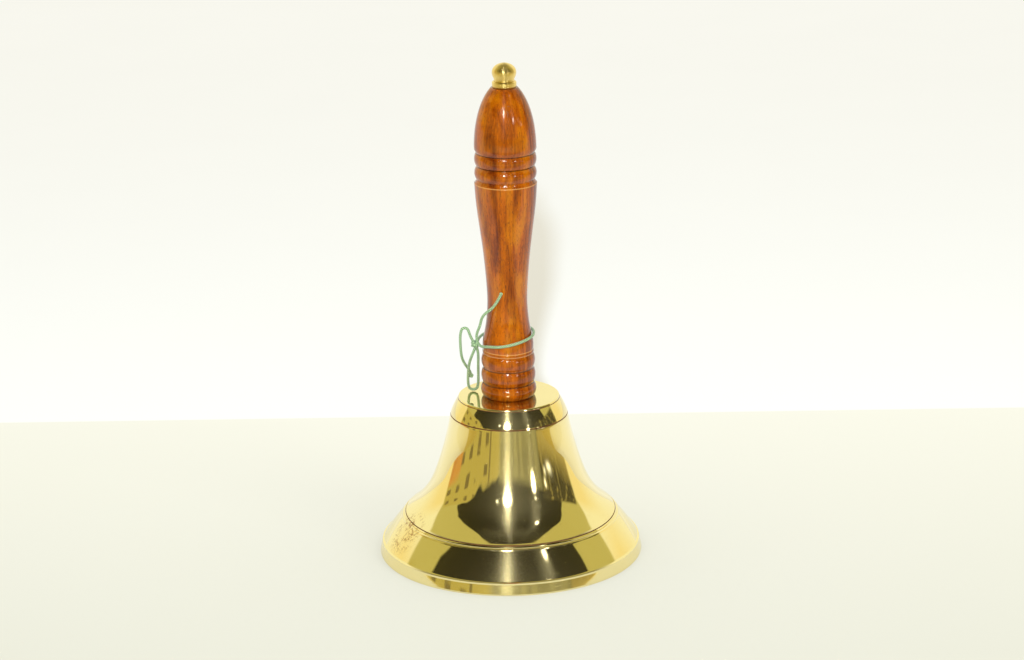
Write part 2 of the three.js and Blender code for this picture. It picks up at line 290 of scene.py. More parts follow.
def position(tree, scale=(1, 1, 1)):
    """Place on the object in millimetres, each axis times its scale."""
    coordinates = tree.nodes.new("ShaderNodeTexCoord")
    mapping = tree.nodes.new("ShaderNodeMapping")
    mapping.inputs["Scale"].default_value = [s / MM for s in scale]
    tree.links.new(coordinates.outputs["Object"], mapping.inputs["Vector"])
    return Value(tree, mapping.outputs[0])


def noise(vector, scale=1, detail=2, roughness=0.5):
    """Smooth random number round 0.5 for each place."""
    node = vector.tree.nodes.new("ShaderNodeTexNoise")
    feed(vector.tree, vector, node.inputs["Vector"])
    for name, value in (("Scale", scale), ("Detail", detail), ("Roughness", roughness)):
        node.inputs[name].default_value = value
    return Value(vector.tree, node.outputs["Fac"])


def vector_math(operation, first, *others):
    """A node that combines vectors."""
    node = first.tree.nodes.new("ShaderNodeVectorMath")
    node.operation = operation
    for socket, value in zip(node.inputs, (first, *others)):
        feed(first.tree, value, socket)
    return node


def vector_of(x, y, z):
    """A vector from three values, or numbers."""
    tree = next(part.tree for part in (x, y, z) if isinstance(part, Value))
    node = tree.nodes.new("ShaderNodeCombineXYZ")
    for part, socket in zip((x, y, z), node.inputs):
        feed(tree, part, socket)
    return Value(tree, node.outputs[0])


def bump(height, depth_mm):
    """Surface normal for a height field whose 0 to 1 is depth_mm."""
    node = height.tree.nodes.new("ShaderNodeBump")
    node.inputs["Strength"].default_value = 1
    node.inputs["Distance"].default_value = depth_mm * MM
    feed(height.tree, height, node.inputs["Height"])
    return Value(height.tree, node.outputs[0])


def attribute(tree, name):
    """A number stored on the mesh."""
    node = tree.nodes.new("ShaderNodeAttribute")
    node.attribute_name = name
    return Value(tree, node.outputs["Fac"])


def glossy_ray(tree):
    """1 for what a glossy surface reflects, 0 for all else."""
    return Value(tree, tree.nodes.new("ShaderNodeLightPath").outputs["Is Glossy Ray"])


def new_material(name):
    """A material and its main shader."""
    material = bpy.data.materials.new(name)
    material.use_nodes = True
    return material, material.node_tree, material.node_tree.nodes["Principled BSDF"]


def settings(shader, **values):
    """Sets the shader's sockets; a name's underscores stand for spaces."""
    for name, value in values.items():
        feed(shader.id_data, value, shader.inputs[name.replace("_", " ")])


def mixed_surface(tree, share, first, second):
    """Makes the material's surface a mix of two shaders."""
    both = tree.nodes.new("ShaderNodeMixShader")
    feed(tree, share, both.inputs[0])
    tree.links.new(first.outputs[0], both.inputs[1])
    tree.links.new(second.outputs[0], both.inputs[2])
    tree.links.new(both.outputs[0], tree.nodes["Material Output"].inputs["Surface"])


def scatter_lobe(tree, main, share, **values):
    """Mixes in a second, rougher metal reflection, stretched across the turning marks."""
    second = tree.nodes.new("ShaderNodeBsdfPrincipled")
    settings(second, Metallic=1.0, Anisotropic=0.92, Anisotropic_Rotation=0.25, **values)
    tangent = tree.nodes.new("ShaderNodeTangent")
    tangent.direction_type = "RADIAL"
    tangent.axis = "Z"
    tree.links.new(tangent.outputs[0], second.inputs["Tangent"])
    mixed_surface(tree, share, main, second)


def radius_of(x, y):
    """Distance from the axis."""
    return (x * x + y * y).math("SQRT")


# ---- materials


# Middle of the tarnished patch, low on the left of the bell.
TARNISH_PLACE = (-51.5, -21.5, 17)


def polished_brass():
    """Mirror brass with hair-fine turning marks, a few pits and a tarnished patch low on the left."""
    material, tree, shader = new_material("polished_brass")
    x, y, z = position(tree).parts()
    turning = noise(vector_of(radius_of(x, y) * 0.02, 0.0, z * 2.6), 1, 3, 0.7)
    wobble = noise(position(tree), 0.06, 2)
    pits = noise(position(tree), 1.1, 2, 0.6).above(0.71, 0.03)
    distance = vector_math("DISTANCE", position(tree), TARNISH_PLACE)
    near = Value(tree, distance.outputs["Value"]).below(9.5, 7)
    cluster = noise(position(tree), 0.16, 2).above(0.44, 0.12)
    speckle = noise(position(tree), 0.62, 5, 0.75).above(0.52, 0.08)
    tarnish = near * cluster * speckle
    clean = mix(wobble, (0.90, 0.77, 0.39), (0.93, 0.81, 0.43))
    worn = mix(tarnish * 0.9, clean, (0.38, 0.20, 0.06))
    height = turning * 0.6 + pits * -0.5
    settings(
        shader,
        Base_Color=mix(pits * 0.5, worn, (0.45, 0.30, 0.10)),
        Metallic=1.0,
        Roughness=(turning * 0.03 + 0.03) + tarnish * 0.12,
        Normal=bump(height, 0.0016),
    )
    scatter_lobe(tree, shader, 0.08, Base_Color=(0.92, 0.80, 0.42), Roughness=0.34)
    return material


def engraved_brass():
    """Brown tarnish left in the engraved lines, where polishing doesn't reach."""
    material, tree, shader = new_material("engraved_brass")
    grime = noise(position(tree), 0.5, 3).above(0.5, 0.5)
    settings(
        shader,
        Base_Color=mix(grime, (0.16, 0.055, 0.02), (0.34, 0.15, 0.05)),
        Metallic=0.7,
        Roughness=grime * 0.2 + 0.4,
        Normal=bump(noise(position(tree), 3.0, 3), 0.02),
    )
    return material


def inner_brass():
    """Turned but unpolished brass inside the bell: rings left by the tool, dulled by tarnish."""
    material, tree, shader = new_material("inner_brass")
    x, y, z = position(tree).parts()
    rings = noise(vector_of(radius_of(x, y) * 0.5, 0.0, z * 0.5), 1, 3, 0.6)
    cloud = noise(position(tree), 0.16, 4, 0.6)
    settings(
        shader,
        Base_Color=mix((cloud + rings * 0.6).above(0.8, 0.5), (0.50, 0.34, 0.12), (0.70, 0.53, 0.22)),
        Metallic=1.0,
        Roughness=rings * 0.2 + cloud * 0.15 + 0.12,
        Normal=bump(rings + noise(position(tree), 1.2, 3) * 0.25, 0.14),
    )
    return material


def satin_brass():
    """Worn brass of the finial and the clapper's ball, rubbed brighter in places."""
    material, tree, shader = new_material("satin_brass")
    x, y, z = position(tree).parts()
    wear_and_highlight = noise(position(tree), 0.35, 4, 0.6).above(0.5, 0.35)
    marks = noise(vector_of(radius_of(x, y) * 0.3, 0.0, z * 5.0), 1, 2, 0.6)
    dents = noise(position(tree), 1.6, 3, 0.6)
    settings(
        shader,
        Base_Color=mix(wear_and_highlight, (0.64, 0.43, 0.11), (0.84, 0.63, 0.22)),
        Metallic=1.0,
        Roughness=wear_and_highlight * -0.07 + 0.27,
        Normal=bump(marks * 0.4 + dents * 0.6, 0.012),
    )
    scatter_lobe(tree, shader, 0.75, Base_Color=(0.94, 0.74, 0.29), Roughness=0.36)
    return material


def lacquered_wood():
    """Reddish brown hardwood: growth rings, streaks and short pores under rippled gloss lacquer."""
    material, tree, shader = new_material("lacquered_wood")
    x, y, z = position(tree).parts()
    drift = noise(position(tree, (0.05, 0.05, 0.009)), 1, 2) * 9
    across = x * 0.42 + y * 0.30 + drift
    rings = noise(vector_of(across, z * 0.004, 0.0), 1.1, 3, 0.55)
    streaks = noise(position(tree, (0.9, 0.9, 0.022)), 1, 3, 0.6)
    fibres = noise(position(tree, (4.5, 4.5, 0.11)), 1, 2, 0.6)
    pores = noise(position(tree, (3.4, 3.4, 0.34)), 1, 1, 0.5).above(0.635, 0.05)
    broad = noise(position(tree, (0.12, 0.12, 0.018)), 1, 2, 0.5)
    patches = noise(position(tree, (0.14, 0.14, 0.04)), 1, 3, 0.55)
    tone = (rings * 0.8 + streaks * 0.5 + fibres * 0.2 + broad * 0.7 + patches * 0.35).above(1.25, 0.44)
    warm = mix(tone, (0.090, 0.010, 0.0002), (0.38, 0.077, 0.0004))
    golden = patches.above(0.56, 0.16) * broad.above(0.46, 0.16)
    warm = mix(golden * 0.65, warm, (0.42, 0.130, 0.0006))
    stain_and_painted_light = mix(pores * 0.55, warm, (0.035, 0.008, 0.002))

    def bands(heights, half):
        """1 on rings round the handle at these heights, half as wide as half says on each side."""
        marks = [z.between(height - half, height + half, 0.3) for height in heights]
        return sum(marks[1:], marks[0])

    # Painted shade: dark rings in the grooves between the beads, where shade falls.
    painted_shade_grooves = [bead_top for bead_top, _, _ in (*LOWER_BEADS[:2], *UPPER_BEADS)]
    stain_and_painted_light = mix(bands(painted_shade_grooves, 0.3) * 0.7, stain_and_painted_light, (0.022, 0.006, 0.002))
    # Painted highlight: lighter lines round the shoulder edge and near the top of the lower beads, where the
    # edges catch the light.
    wear_and_highlight = bands([SHOULDER_EDGE, LOWER_BEADS[3][0], LOWER_BEADS[2][0] + 0.4], 0.22)
    stain_and_painted_light = mix(wear_and_highlight * 0.5, stain_and_painted_light, (0.62, 0.30, 0.08))
    waves = noise(position(tree, (0.35, 0.35, 0.12)), 1, 2)
    ripple = waves + noise(position(tree, (1.3, 1.3, 0.6)), 1, 2) * 0.3
    settings(
        shader,
        Base_Color=stain_and_painted_light,
        Roughness=0.5,
        Specular_IOR_Level=0.0,
        Coat_Weight=1.0,
        Coat_Roughness=0.055,
        Coat_IOR=1.55,
        Sheen_Weight=0.1,
        Sheen_Roughness=0.15,
        Normal=bump(fibres * 0.4 - pores, 0.03),
        Coat_Normal=bump(ripple + pores * -0.12 + fibres * 0.05, 0.08),
    )
    return material


def zinc_steel():
    """Dull zinc plating with a fine crystalline mottle."""
    material, tree, shader = new_material("zinc_steel")
    mottle = noise(position(tree), 0.9, 4, 0.65)
    grain = noise(position(tree), 5.0, 2)
    settings(
        shader,
        Base_Color=mix(mottle, (0.42, 0.42, 0.40), (0.70, 0.70, 0.67)),
        Metallic=1.0,
        Roughness=mottle * 0.25 + 0.2,
        Normal=bump(mottle + grain * 0.3, 0.012),
    )
    return material


def green_cord():
    """Waxed braid in pale green: bright where strands lie on top, with painted shade darkening the gaps
    between them.
    """
    material, tree, shader = new_material("green_cord")
    weave = attribute(tree, "weave")
    threads = noise(position(tree), 9.0, 2, 0.6)
    fade = noise(position(tree), 0.12, 2)
    height = position(tree).parts()[2]
    strand = mix(fade, (0.36, 0.50, 0.21), (0.54, 0.68, 0.33))
    # Painted reflected light: below about 97 mm the cord turns a paler olive, where the brass throws yellow
    # light onto it.
    strand = mix(height.below(97, 10) * 0.6, strand, (0.52, 0.54, 0.21))
    # Painted shade: near black in the gaps between the strands.
    shaded = mix(weave.above(0.58, 0.4), (0.03, 0.07, 0.02), strand)
    settings(
        shader,
        Base_Color=mix(threads.above(0.6, 0.1) * 0.4, shaded, (0.66, 0.80, 0.50)),
        Roughness=0.55,
        Specular_IOR_Level=0.35,
        Sheen_Weight=0.25,
        Sheen_Roughness=0.4,
        Normal=bump(threads, 0.03),
    )
    return material


def plain_floor():
    """Matt pale floor, a little whiter behind, seen from above only. Gloss sees it warmer, like the room."""
    material, tree, shader = new_material("plain_floor")
    x, y, _ = position(tree).parts()
    behind = y.above(FLOOR_TURN, 1.5)
    paper = noise(position(tree), 0.01, 3)
    # Painted shade: the front of the floor darkens towards the camera. Painted light: the part behind grows
    # whiter far back.
    front = mix(y.below(30, 340), FLOOR_COLOUR, NEAR_COLOUR)
    back = mix(y.above(800, 1200), BACKDROP_COLOUR, FAR_COLOUR)
    tone = mix(behind, front, back)
    # Painted reflection: gloss sees the floor ochre further out and dark right in front of the bell,
    # standing in for the room.
    glossy = glossy_ray(tree)
    ochre = glossy * radius_of(x, y).above(480, 300) * y.below(150, 400)
    tone = mix(ochre * 0.75, tone, GLOSS_OCHRE)
    front_of_bell = mix(x.math("ABSOLUTE").above(420, 300), GLOSS_FRONT, GLOSS_FRONT_SIDES)
    tone = mix(glossy * y.below(-235, 70), tone, front_of_bell)
    settings(
        shader,
        Base_Color=mix(paper * 0.06, tone, PAPER_FLECKS),
        Roughness=0.9,
        Specular_IOR_Level=0.0,
    )
    clear = tree.nodes.new("ShaderNodeBsdfTransparent")
    from_below = Value(tree, tree.nodes.new("ShaderNodeNewGeometry").outputs["Backfacing"])
    mixed_surface(tree, from_below, shader, clear)
    return material


# ---- camera

# In metres and degrees; the lens and the sensor in millimetres.
CAMERA_PLACE = (0, -1.3221, 0.5269)
CAMERA_LENS = 100
CAMERA_SENSOR = 36
CAMERA_DOWN = 17.393
CAMERA_YAW = -0.088
CAMERA_ROLL = -0.830


def camera():
    """The camera, looking down at the bell from the front."""
    data = bpy.data.cameras.new("camera")
    data.lens = CAMERA_LENS
    data.sensor_width = CAMERA_SENSOR
    thing = new_object("camera", data)
    yaw = Matrix.Rotation(math.radians(CAMERA_YAW), 4, "Z")
    tilt = Matrix.Rotation(math.radians(90 - CAMERA_DOWN), 4, "X")
    roll = Matrix.Rotation(math.radians(CAMERA_ROLL), 4, "Z")
    thing.matrix_world = Matrix.Translation(CAMERA_PLACE) @ yaw @ tilt @ roll
    bpy.context.scene.camera = thing


# ---- cord

CORD_R = 0.7
KNOT = (-15.9, -3, 106.8)
END_KNOT = (-18.4, 6.7, 87.6)

# Upper free end: from its cut tip, leaning on the waist of the handle, down to the knot.
TAIL_UPPER = [
    (-2.7, -11.2, 135.1),
    (-5.8, -9.4, 128.8),
    (-8.2, -8.4, 125.9),
    (-10.5, -7.5, 123.8),
    (-12.3, -6.2, 121.2),
    (-13.6, -5, 116.6),
    (-15.2, -3.8, 110.4),
]
# Round the handle: out of the front of the knot, round the right side, back into it from behind.
BAND = [
    (-14, -4.7, 107),
    (-10.2, -8.7, 107.1),
    (-4.8, -12.8, 108.1),
    (1.6, -13.3, 109.2),
    (7.6, -10.8, 110.4),
    (11.8, -5.2, 111.3),
    (12.4, 1.6, 111.9),
    (9.3, 8.6, 111.8),
    (2.6, 12.8, 111),
    (-5, 12.5, 110.3),
    (-12, 6.4, 108.9),
    (-14.4, 1.4, 108),
]
# Bow loop: hangs from the knot until it touches the crown, and comes back up beside the handle.
LOOP = [
    (-16.4, -2.3, 103.9),
    (-18.8, -0.1, 97),
    (-19.8, 2.6, 89),
    (-19.65, 4.7, 83.05),
    (-19, 5.35, 81.4),
    (-17.4, 5.6, 80.75),
    (-15.8, 5.35, 81.4),
    (-15.15, 4.7, 83.05),
    (-14.8, 3, 89),
    (-14.7, 0.6, 96.6),
    (-15.1, -1.8, 103.9),
]
# Lower free end: arches out to the left and falls behind the loop to its small end knot.
TAIL_LOWER = [
    (-17.4, -3.8, 109.3),
    (-18.95, -4.2, 113.4),
    (-19.9, -4.1, 115.1),
    (-21.8, -3.7, 115.1),
    (-22.75, -3.3, 113.4),
    (-23.2, -2.1, 106.8),
    (-22.6, 0.2, 99),
    (-20.6, 3.8, 93.4),
    (-18.8, 6.1, 89.4),
]
CORD_ROUTE = [*TAIL_UPPER, *BAND, *LOOP, *TAIL_LOWER, END_KNOT]

# Strands each way round the cord, the distance between them along it, and the braid's mesh.
STRANDS = 4
STRAND_SPACING = 1.0
BRAID_SIDES = 30


def across_path(path, closed):
    """Two directions across the path at each of its points, which don't twist along it."""
    ahead = np.roll(path, -1, 0) - np.roll(path, 1, 0)
    if not closed:
        ahead[0] = path[1] - path[0]
        ahead[-1] = path[-1] - path[-2]
    ahead /= np.linalg.norm(ahead, axis=1)[:, None]
    side = np.cross(ahead[0], (0.3, 0.5, 0.8))
    sides = []
    for direction in ahead:
        side = side - (side @ direction) * direction
        side = side / np.linalg.norm(side)
        sides.append(side)
    sides = np.array(sides)
    return sides, np.cross(ahead, sides)


def braid(path, material, name, radius=CORD_R, closed=False, taper=None):
    """A braided tube along a path: two sets of strands that pass over and under each other."""
    around = BRAID_SIDES
    sides, ups = across_path(path, closed)
    steps = np.linalg.norm(np.diff(path, axis=0), axis=1)
    along = np.r_[0, np.cumsum(steps)][:, None]
    angle = (np.arange(around) * 2 * math.pi / around)[None, :]
    turn = STRANDS * angle / (2 * math.pi)
    left = turn + along / STRAND_SPACING
    right = turn - along / STRAND_SPACING
    ridge_left = np.cos(math.pi * left) ** 2
    ridge_right = np.cos(math.pi * right) ** 2
    over = np.cos(math.pi * (left + right))
    weave = 0.5 * (ridge_left + ridge_right) + 0.5 * over * (ridge_left - ridge_right)
    thickness = radius * (0.83 + 0.20 * weave)
    if taper is not None:
        thickness = thickness * taper(along, along[-1])
    ring = sides[:, None] * np.cos(angle)[..., None] + ups[:, None] * np.sin(angle)[..., None]
    points = (path[:, None] + ring * thickness[..., None]).reshape(-1, 3)
    rings = len(path)
    faces = []
    for i in range(rings if closed else rings - 1):
        low, high = i * around, (i + 1) % rings * around
        for j in range(around):
            k = (j + 1) % around
            faces.append((low + j, low + k, high + k, high + j))
    if not closed:
        faces.append(tuple(reversed(range(around))))
        faces.append(tuple((rings - 1) * around + j for j in range(around)))
    tube = make_mesh(name, points, faces, [material], sharp=60)
    stored = tube.data.attributes.new("weave", "FLOAT", "POINT")
    stored.data.foreach_set("value", weave.ravel().astype(np.float32))
    return tube


def sealed_ends(from_tip, length):
    """Thickness along the cord: rounded off at the heat-sealed tip, which is swollen a little."""
    swell = 1 + 0.16 * np.exp(-(((from_tip - 0.7) / 0.6) ** 2))
    closing = np.sqrt(np.clip(1 - (1 - np.clip(from_tip / 0.55, 0, 1)) ** 2, 0.02, 1))
    ending = np.sqrt(np.clip(1 - (1 - np.clip((length - from_tip) / 0.4, 0, 1)) ** 2, 0.02, 1))
    return swell * closing * ending


def knot_turns():
    """The turns that draw the knot tight: two rings' worth of cord, tilted against each other."""
    t = np.linspace(0, 4 * math.pi, 160, endpoint=False)
    tilt = np.radians(52) * np.cos(t / 2)
    lean = np.radians(30) * np.sin(t / 2)
    ring_r = 1.5
    x, y = ring_r * np.cos(t), ring_r * np.sin(t)
    height = 0.7 * np.sin(t / 2)
    z = x * np.sin(tilt) + y * np.sin(lean) + height
    return np.stack([x * np.cos(tilt), y * np.cos(lean), z], 1) + KNOT


def end_knot_turns():
    """Small overhand knot at the lower end."""
    t = np.linspace(0, 4 * math.pi, 120, endpoint=False)
    ring_r = 0.62 + 0.12 * np.cos(1.5 * t)
    z = 0.36 * np.sin(1.5 * t)
    return np.stack([ring_r * np.cos(t), z, ring_r * np.sin(t)], 1) + END_KNOT


def cord():
    """The whole cord as one braided length, with the turns of its knot and its end knot."""
    material = green_cord()
    path = spline(CORD_ROUTE, 1500)
    line = braid(path, material, "cord", taper=sealed_ends)
    knot = braid(knot_turns(), material, "cord_knot_turns", closed=True)
    end_knot = braid(end_knot_turns(), material, "cord_end_turns", radius=0.5, closed=True)
    place(line, "bell", "green_cord", "cord_band", "cord_loop", "cord_tail_upper", "cord_tail_lower")
    place(knot, "bell", "green_cord", "cord_knot")
    place(end_knot, "bell", "green_cord", "cord_end_knot")
    (path[::6] * MM).tolist()


camera()
cord()


# ---- bell

MOUTH_R = 65
LIP_LINE = (63.1, 6.0)
LOWER_LINE = (52.3, 20.1)
SHOULDER_LINE = (28.8, 70.7)
CROWN_EDGE_R = 24.6
# Length of the lip cone along its slope, and how far the cone and the bevel bulge in their middle.
CONE_LENGTH = 18
CONE_SWELL = 0.27
BEVEL_SWELL = 0.25
CROWN_TOP = 79.8
CROWN_UNDER = 75
CROWN_HOLE = 3.4
RIM_INNER = 61.5


def groove(centre, along, out, width=0.42, depth=0.26):
    """Engraved line across the outline: its shape, from one edge to the other."""
    centre, along, out = (np.array(v, float) for v in (centre, along, out))
    offsets = [(-0.5, 0), (-0.36, -0.5), (0, -1), (0.36, -0.5), (0.5, 0)]
    return [tuple(centre + along * width * u + out * depth * v) for u, v in offsets]


def bell_outline():
    """The shell's outline up the outside and down the inside, with the material of each stretch."""
    outline, marks = [], []

    def add(points, mark):
        """The outline's next points, and the material from each of them on."""
        for point in points:
            outline.append(tuple(float(c) for c in point))
            marks.append(mark)

    polished, engraved, inner = range(3)
    cone = np.array(LOWER_LINE) - LIP_LINE
    cone /= np.linalg.norm(cone)
    out = np.array((cone[1], -cone[0]))

    def on_cone(along, raised=0.0):
        """A point on the slightly convex cone, at a distance up from the lip line."""
        swell = 4 * CONE_SWELL * (along / CONE_LENGTH) * (1 - along / CONE_LENGTH)
        return np.array(LIP_LINE) + cone * along + out * (swell + raised)

    # Lip band, with the fine raised line that finishes its top.
    lip = spline([(MOUTH_R - 0.02, 0.35), (64.37, 2.9), (63.72, 5.5)], 10)
    add([*rounded([(64.6, 0), (64.93, 0, 0.25), tuple(lip[0])]), *lip[1:]], polished)
    add([(63.78, 5.64), (63.78, 5.86), (63.5, 6.04), (63.2, 6.1)], polished)
    # Cone, a small round ridge, and two fine engraved lines with a flat between them.
    add([on_cone(s) for s in (0.35, 0.7, *np.linspace(1.3, 15.4, 16))], polished)
    add([on_cone(16.2 + 0.5 * u, 0.13 * (1 - u * u)) for u in np.linspace(-1, 1, 9)], polished)
    add(groove(on_cone(17.0), cone, out, 0.4, 0.16), polished)
    add([on_cone(17.3, -0.1), on_cone(17.65, -0.07), on_cone(18.0, -0.1)], polished)
    add(groove(on_cone(18.25), cone, out, 0.46, 0.26), engraved)
    # Flared waist up to the shoulder.
    start = on_cone(18.5)
    stations = [tuple(start), (46.05, 25.7), (39.6, 34.6), (35.5, 44.6), (32.1, 55.7), (28.92, 70.25)]
    add(spline(stations, 64), polished)
    add(groove(SHOULDER_LINE, (-0.19, 0.98), (0.98, 0.19)), engraved)
    # Slightly convex bevel, an engraved line and the crown's round edge.
    low, high = np.array((28.72, 71.05)), np.array((25.0, 78.7))
    side = np.array((high[1] - low[1], low[0] - high[0])) / np.linalg.norm(high - low)
    swells = [(t, BEVEL_SWELL * 4 * t * (1 - t)) for t in np.linspace(0, 1, 18)]
    add([low + (high - low) * t + side * swell for t, swell in swells], polished)
    add(groove((24.92, 78.87), (-0.4, 0.9), (0.9, 0.4), 0.3, 0.14), engraved)
    add(rounded([(24.85, 79.05), (CROWN_EDGE_R, CROWN_TOP, 0.55), (23.6, CROWN_TOP)], 8), polished)
    add([(r, CROWN_TOP) for r in (20, 14, 8)], polished)
    add(rounded([(5, CROWN_TOP), (CROWN_HOLE, CROWN_TOP, 0.2), (CROWN_HOLE, CROWN_UNDER, 0.2)]), inner)
    add(rounded([(CROWN_HOLE, CROWN_UNDER), (20.5, CROWN_UNDER, 5), (25.6, 68)], 10), inner)
    stations = [(25.6, 68), (29.4, 55.4), (32.8, 43.8), (37, 33.4), (43.4, 24), (50, 17.2), (59.9, 4.5)]
    add(spline(stations, 48)[1:], inner)
    add(rounded([(60.3, 3.5), (RIM_INNER, 0, 0.5), (62, 0)]), inner)
    return outline, marks


def bell():
    """The shell as one turned piece."""
    outline, marks = bell_outline()
    materials = [polished_brass(), engraved_brass(), inner_brass()]
    shell = turned("bell", outline, materials, 256, ring_materials=marks, closed=True, sharp=50)
    place(shell, "bell", "polished_brass", "bell_shell")


# ---- handle and finial

HANDLE_FOOT = 79.84
HANDLE_BORE = 3.5
LOWER_BEADS = [(86.8, 13.6, 12.3), (94.5, 13.3, 12.4), (101.7, 13.2, 12.2), (103.7, 12.6, 12.35)]
UPPER_BEADS = [(195.7, 15.0, 13.5), (202.2, 15.0, 14.1)]
GRIP = [(12.4, 103.9), (12.5, 106.5), (11.95, 110), (10.7, 116.5), (9.93, 124), (9.76, 129)]
GRIP += [(9.94, 134), (11.2, 150), (13.15, 166), (14.75, 180), (15.12, 186.2)]
SHOULDER_EDGE = 187.1
SHOULDER_GROOVE = (14.25, 188.5)
DOME = {"r": 15.05, "base": 204, "height": 32.8, "top": 233.6}

FERRULE_R = 5.86
FERRULE_FOOT = 233.65
FERRULE_TOP = 236.6
FINIAL_BORE = 3.3
NECK_R = 4.95
NECK_FOOT = 236.63
BALL_R = 5.85
BALL_Z = 240.9
BALL_RISE = 4.4
BALL_DROP = 5.4


def bead_stack(bottom, beads):
    """Round beads on top of each other, each ending in a groove."""
    points = []
    for top, peak, groove_r in beads:
        points.extend(bead(bottom, top, groove_r, peak)[1:])
        bottom = top
    return points


def handle():
    """Beads at the foot, the waisted grip, its shoulder, two more beads and the dome."""
    heights = np.linspace(0, math.asin((DOME["top"] - DOME["base"]) / DOME["height"]), 26)
    dome = [(DOME["r"] * math.cos(a), DOME["base"] + DOME["height"] * math.sin(a)) for a in heights]
    outline = [
        (HANDLE_BORE, HANDLE_FOOT),
        (LOWER_BEADS[0][2] - 0.3, HANDLE_FOOT),
        (LOWER_BEADS[0][2], HANDLE_FOOT + 0.15),
        *bead_stack(HANDLE_FOOT + 0.15, LOWER_BEADS),
        *spline(GRIP, 70),
        *rounded([(15.14, 186.4), (15.14, 187.2, 0.45), (SHOULDER_GROOVE[0], 188.3)]),
        SHOULDER_GROOVE,
        *bead_stack(SHOULDER_GROOVE[1], UPPER_BEADS),
        *dome,
        (dome[-1][0] - 0.4, DOME["top"]),
        (HANDLE_BORE, DOME["top"]),
    ]
    wood = turned("turned_handle", outline, [lacquered_wood()], 160, closed=True, sharp=55)
    place(wood, "bell", "lacquered_wood", "handle")


def finial(brass):
    """The collar on the handle's dome and the ball nut with its short neck."""
    corners = [(FINIAL_BORE, FERRULE_FOOT), (5.6, FERRULE_FOOT, 0.2), (FERRULE_R, 234.5, 0.3)]
    corners += [(FERRULE_R, 236.2, 0.35), (5.4, FERRULE_TOP, 0.2), (FINIAL_BORE, FERRULE_TOP)]
    ferrule = turned("ferrule", rounded(corners), [brass], closed=True)
    place(ferrule, "bell", "satin_brass", "finial_ferrule")
    # The ball is flatter above its widest ring than below it.
    start = -math.acos(NECK_R / BALL_R)
    ball = []
    for angle in np.linspace(start + 0.12, math.pi / 2, 28):
        semi = BALL_RISE if angle > 0 else BALL_DROP
        ball.append((BALL_R * math.cos(angle), BALL_Z + semi * math.sin(angle)))
    ball[-1] = (0, ball[-1][1])
    neck = rounded([(FINIAL_BORE, NECK_FOOT), (NECK_R, NECK_FOOT, 0.12), (4.85, 237.5, 0.3), ball[0]])
    bore_end = BALL_Z + 0.4
    knob = [(0, bore_end), (FINIAL_BORE, bore_end), *neck, *ball[1:]]
    place(turned("ball_knob", knob, [brass]), "bell", "satin_brass", "finial_knob")


# ---- rod, nuts and clapper

ROD_R = 2.98
ROD_FOOT = 60.1
ROD_TOP = 241
ROD_HOLE = 3.3
PIVOT_Z = 56
PIN_R = 1.5
PIN_HOLE = 1.8
PIN_HEAD_R = 2.8
SHANK_R = 1.98
SHANK_HOLE = 2.3
# From a piece turned round Z to the same piece on the pivot's axis, along Y.
ON_PIVOT = Matrix.Translation((0, 0, PIVOT_Z * MM)) @ Matrix.Rotation(-math.pi / 2, 4, "X")


def threaded(radius, bottom, top, pitch, depth, segments=48):
    """Rings of a screw thread, with its start and end faded out."""
    angle = np.arange(segments) / segments
    rings = []
    for z in np.linspace(bottom, top, int((top - bottom) / pitch * 12)):
        phase = (z / pitch - angle) % 1
        flank = np.abs(2 * phase - 1)
        fade = min(1, (z - bottom) / pitch + 0.15, (top - z) / pitch)
        rings.append((radius - depth * max(fade, 0) * np.clip(1.25 * flank - 0.1, 0, 1), z))
    return rings


def tie_rod(steel):
    """Rod from the ball nut down into the bell, threaded where its nuts sit."""
    rings = [(0, ROD_FOOT), (2.45, ROD_FOOT), *threaded(ROD_R, 60.5, 75.5, pitch=1.0, depth=0.5)]
    rings += [(ROD_R, ROD_TOP - 0.4), (2.6, ROD_TOP), (0, ROD_TOP)]
    rod = polar("tie_rod_threaded", rings, [steel], 48, sharp=50)
    place(rod, "bell", "zinc_steel", "tie_rod")


def ring_piece(name, material, outer, inner, bottom, top, edge, segments=72, matrix=None):
    """Washer or collar with rounded edges."""
    start = ((outer + inner) / 2, bottom)
    corners = [start, (outer, bottom, edge), (outer, top, edge)]
    corners += [(inner, top, edge / 2), (inner, bottom, edge / 2), start]
    outline = rounded(corners, 4)
    return turned(name, outline[:-1], [material], segments, closed=True, matrix=matrix)


def hex_nut(name, material, across_flats, hole, bottom, height):
    """Hexagon nut with the curved chamfers that a cone cuts on its corners, and a countersunk hole."""
    segments = 120
    angle = np.arange(segments) * 2 * math.pi / segments
    apothem = across_flats / 2
    hexagon = apothem / np.cos((angle + math.pi / 6) % (math.pi / 3) - math.pi / 6)
    face_r = apothem * 0.94
    slope = math.tan(math.radians(30))
    sink = 0.35

    def side_ring(depth):
        """The nut's outline at a depth under its end face, where the cone still cuts the corners."""
        return np.minimum(hexagon, face_r + depth / slope)

    depths = [0, 0.12, 0.24, 0.36, 0.5, 0.66, 0.84]
    rings = [(hole + sink, bottom), (face_r - 0.1, bottom)]
    rings += [(side_ring(d), bottom + d) for d in depths]
    rings += [(side_ring(d), bottom + height - d) for d in reversed(depths)]
    rings += [(face_r - 0.1, bottom + height), (hole + sink, bottom + height)]
    rings += [(hole, bottom + height - sink), (hole, bottom + sink)]
    return polar(name, rings, [material], segments, closed=True, sharp=24)


def drill(thing, radius, low, high, material, segments, matrix=None):
    """Cuts a round hole through the object, along Z unless the matrix turns it."""
    outline = [(0, low), (radius, low), (radius, high), (0, high)]
    boolean(thing, turned("drill", outline, [material], segments, matrix=matrix))


